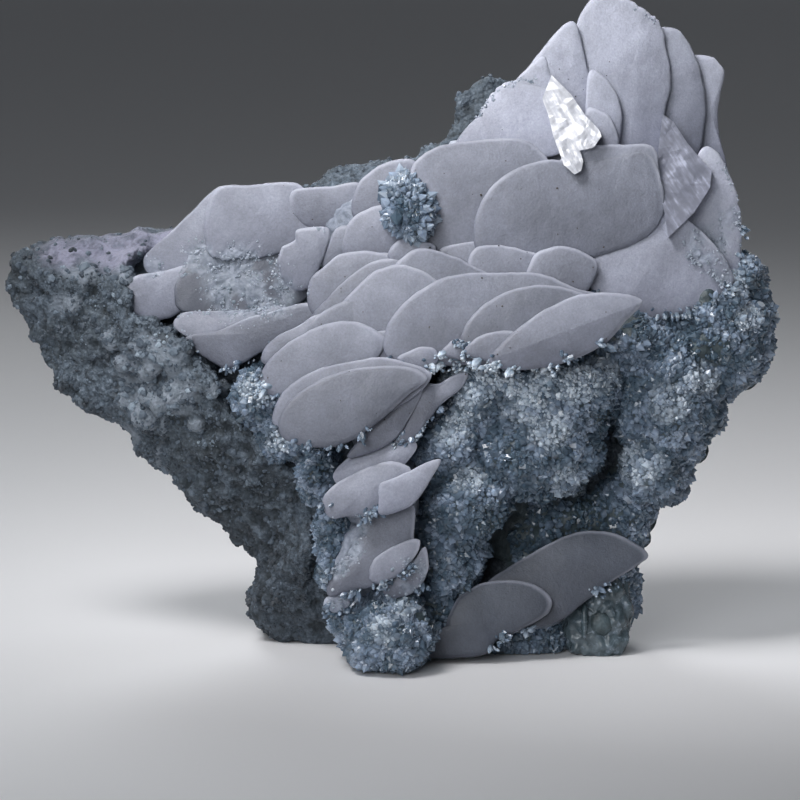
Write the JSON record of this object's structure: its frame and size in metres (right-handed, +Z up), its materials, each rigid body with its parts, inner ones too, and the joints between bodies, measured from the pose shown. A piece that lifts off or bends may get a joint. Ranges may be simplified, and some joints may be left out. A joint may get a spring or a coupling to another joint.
{
  "type": "mineral specimen",
  "caption": "Cabinet mineral specimen: overlapping frosted lens-shaped blades on a crust of small blue-grey crystals, in a pocket of dark vesicular rock; rests on its flat underside.",
  "frame": {"origin": "a point on the rock's flat underside, near its middle", "axes": "+Z up; the open, crystal-covered face looks towards -Y, leaning back 8 degrees; +X to the right as seen from the front; the longest extent lies along X"},
  "size_m": [0.1389, 0.0686, 0.1173],
  "materials": {
    "rock": "rough",
    "druse": "gloss",
    "blade": "satin",
    "clear_crystal": "gloss"
  },
  "bodies": {
    "root": {"matrix": "rock", "druse_crust": "druse", "druse_tuft": "druse", "blades_main": "blade", "blades_foot": "blade", "clear_crystal_upper": "clear_crystal", "clear_crystal_right": "clear_crystal"}
  },
  "joints": []
}
